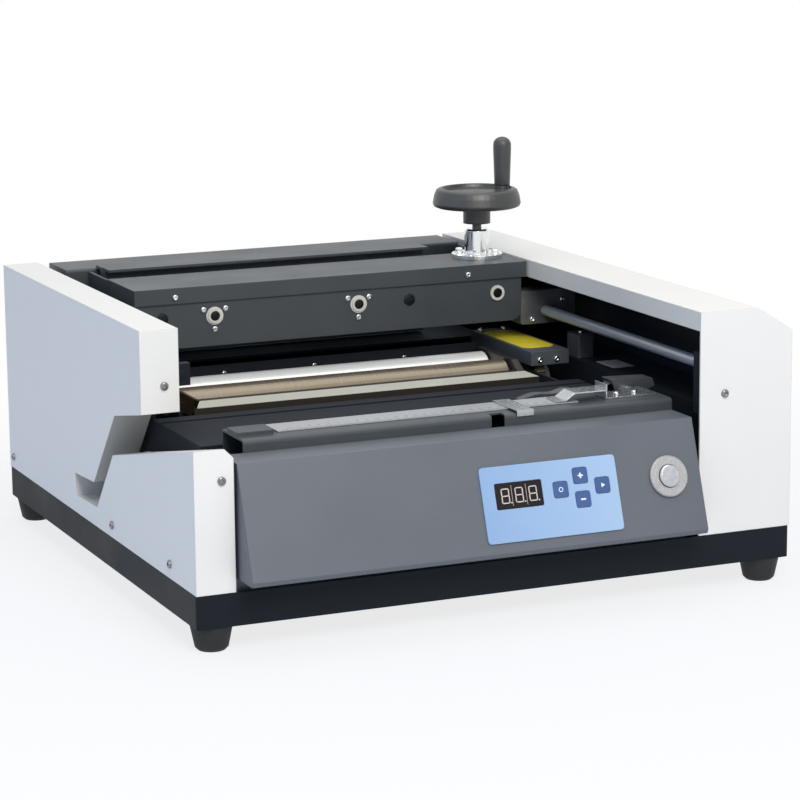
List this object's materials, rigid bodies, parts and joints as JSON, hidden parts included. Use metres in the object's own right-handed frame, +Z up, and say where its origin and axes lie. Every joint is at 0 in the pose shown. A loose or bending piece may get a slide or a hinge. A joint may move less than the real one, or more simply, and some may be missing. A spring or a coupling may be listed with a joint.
{
  "type": "thermal binding machine",
  "caption": "Desktop hot-glue binding machine whose clamp carriage slides over geared glue rollers to a cover nip; handwheel, mitre gears, belt and lead screws open the clamp.",
  "frame": {"origin": "middle of the footprint, on the floor under the feet", "axes": "+X to the machine's right, +Y from the control panel to the rear panel, +Z up"},
  "size_m": [0.63, 0.643, 0.411],
  "materials": {
    "white_coat": "satin powder coat",
    "slate_coat": "fine-textured powder coat",
    "grey_coat": "satin powder coat",
    "foot_rubber": "moulded, matte",
    "belt_rubber": "reinforced, matte",
    "plain_steel": "ground",
    "zinc_plate": "zinc plated",
    "chrome_plate": "polished",
    "bronze_metal": "ground",
    "bare_aluminium": "cast and milled",
    "black_plastic": "moulded",
    "pale_plastic": "moulded",
    "membrane_film": "printed film, satin",
    "key_film": "printed film, satin",
    "display_black": "dark window, gloss"
  },
  "bodies": {
    "base": {"base_tray": "slate_coat", "foot_front_left": "foot_rubber", "foot_front_right": "foot_rubber", "foot_rear_left": "foot_rubber", "foot_rear_right": "foot_rubber", "left_cover": "white_coat", "right_cover": "white_coat", "rear_panel": "slate_coat", "power_inlet": "black_plastic", "front_panel": "grey_coat", "membrane_panel": "membrane_film", "display_window": "display_black", "button_ring": "chrome_plate", "apron": "slate_coat", "ruler": "plain_steel", "lever_bracket": "zinc_plate", "rear_nip_bar": "slate_coat", "left_frame": "slate_coat", "left_shaft": "chrome_plate", "right_frame": "slate_coat", "right_bed": "slate_coat", "right_shaft": "chrome_plate", "stop_block": "bare_aluminium", "glue_tank": "slate_coat", "tank_heater": "bare_aluminium", "tank_rear_plate": "slate_coat", "scraper_bar": "plain_steel", "gear_motor": "bare_aluminium", "gear_cover": "slate_coat", "jogging_plate": "slate_coat"},
    "carriage": {"carriage_body": "slate_coat", "carriage_lid": "slate_coat", "wheel_flange": "chrome_plate", "rear_box": "slate_coat", "rear_jaw": "slate_coat", "screw_bearing_left": "pale_plastic", "screw_bearing_right": "pale_plastic", "shaft_bearing": "plain_steel", "drive_belt": "belt_rubber", "front_slider": "slate_coat", "rear_slider": "slate_coat", "left_slider": "slate_coat"},
    "front_jaw": {"front_jaw": "slate_coat"},
    "lead_screw_left": {"lead_screw_left": "plain_steel"},
    "lead_screw_right": {"lead_screw_right": "plain_steel"},
    "drive_shaft": {"drive_shaft": "plain_steel"},
    "handwheel": {"handwheel": "black_plastic"},
    "crank_grip": {"crank_grip": "black_plastic"},
    "front_roller": {"front_roller": "bronze_metal"},
    "rear_roller": {"rear_roller": "plain_steel"},
    "motor_pinion": {"motor_pinion": "plain_steel"},
    "front_nip_plate": {"front_nip_plate": "slate_coat"},
    "hold_down_lever": {"hold_down_lever": "grey_coat"},
    "gauge_clip": {"gauge_clip": "zinc_plate"},
    "start_button": {"start_button": "chrome_plate"},
    "key_plus": {"key_plus": "key_film"},
    "key_minus": {"key_minus": "key_film"},
    "key_set": {"key_set": "key_film"},
    "key_ok": {"key_ok": "key_film"},
    "rocker_switch": {"rocker_switch": "black_plastic"}
  },
  "joints": [
    {"name": "carriage_slide", "type": "slide", "parent": "base", "child": "carriage", "axis": [0, -1, 0], "range_m": [0, 0.296]},
    {"name": "handwheel_spin", "type": "hinge", "parent": "carriage", "child": "handwheel", "pos_m": [0.1745, 0.1485, 0.34], "axis": [0, 0, 1], "range_deg": [0, 3600]},
    {"name": "jaw_slide", "type": "slide", "parent": "carriage", "child": "front_jaw", "axis": [0, -1, 0], "range_m": [0, 0.0401]},
    {"name": "drive_shaft_spin", "type": "hinge", "parent": "carriage", "child": "drive_shaft", "pos_m": [0.1745, 0.11, 0.2475], "axis": [0, 1, 0], "range_deg": [0, 3601]},
    {"name": "lead_screw_left_spin", "type": "hinge", "parent": "carriage", "child": "lead_screw_left", "pos_m": [-0.1528, 0.11, 0.2475], "axis": [0, 1, 0], "range_deg": [0, 3601]},
    {"name": "lead_screw_right_spin", "type": "hinge", "parent": "carriage", "child": "lead_screw_right", "pos_m": [0.0104, 0.11, 0.2475], "axis": [0, 1, 0], "range_deg": [0, 3601]},
    {"name": "crank_spin", "type": "hinge", "parent": "handwheel", "child": "crank_grip", "pos_m": [0.2075, 0.1525, 0.38], "axis": [0, 0, 1], "continuous": true},
    {"name": "front_roller_spin", "type": "hinge", "parent": "base", "child": "front_roller", "pos_m": [0, 0.0525, 0.161], "axis": [1, 0, 0], "continuous": true},
    {"name": "rear_roller_spin", "type": "hinge", "parent": "base", "child": "rear_roller", "pos_m": [0, 0.1025, 0.161], "axis": [1, 0, 0], "continuous": true},
    {"name": "pinion_spin", "type": "hinge", "parent": "base", "child": "motor_pinion", "pos_m": [0.194, 0.1287, 0.1348], "axis": [1, 0, 0], "continuous": true},
    {"name": "nip_slide", "type": "slide", "parent": "base", "child": "front_nip_plate", "axis": [0, 1, 0], "range_m": [0, 0.006]},
    {"name": "lever_hinge", "type": "hinge", "parent": "base", "child": "hold_down_lever", "pos_m": [0.1854, -0.1693, 0.1881], "axis": [0, 1, 0], "range_deg": [0, 12]},
    {"name": "gauge_slide", "type": "slide", "parent": "base", "child": "gauge_clip", "axis": [1, 0, 0], "range_m": [-0.217, 0.032]},
    {"name": "start_button_press", "type": "slide", "parent": "base", "child": "start_button", "axis": [0, 0.9459, -0.3245], "range_m": [0, 0.002], "stiffness_N_per_m": 300, "springref_m": -0.003},
    {"name": "key_plus_press", "type": "slide", "parent": "base", "child": "key_plus", "axis": [0, 0.9459, -0.3245], "range_m": [0, 0.0005], "stiffness_N_per_m": 300, "springref_m": -0.001},
    {"name": "key_minus_press", "type": "slide", "parent": "base", "child": "key_minus", "axis": [0, 0.9459, -0.3245], "range_m": [0, 0.0005], "stiffness_N_per_m": 300, "springref_m": -0.001},
    {"name": "key_set_press", "type": "slide", "parent": "base", "child": "key_set", "axis": [0, 0.9459, -0.3245], "range_m": [0, 0.0005], "stiffness_N_per_m": 300, "springref_m": -0.001},
    {"name": "key_ok_press", "type": "slide", "parent": "base", "child": "key_ok", "axis": [0, 0.9459, -0.3245], "range_m": [0, 0.0005], "stiffness_N_per_m": 300, "springref_m": -0.001},
    {"name": "rocker_tilt", "type": "hinge", "parent": "base", "child": "rocker_switch", "pos_m": [-0.217, 0.3155, 0.1165], "axis": [1, 0, 0], "range_deg": [0, 16]}
  ],
  "couplings": [
    {"joint": "jaw_slide", "follows": "handwheel_spin", "m_per_rad": 0.00063662},
    {"joint": "drive_shaft_spin", "follows": "handwheel_spin", "ratio": 1},
    {"joint": "lead_screw_left_spin", "follows": "handwheel_spin", "ratio": 1},
    {"joint": "lead_screw_right_spin", "follows": "handwheel_spin", "ratio": 1},
    {"joint": "rear_roller_spin", "follows": "front_roller_spin", "ratio": -1},
    {"joint": "pinion_spin", "follows": "front_roller_spin", "ratio": 2.0833}
  ]
}
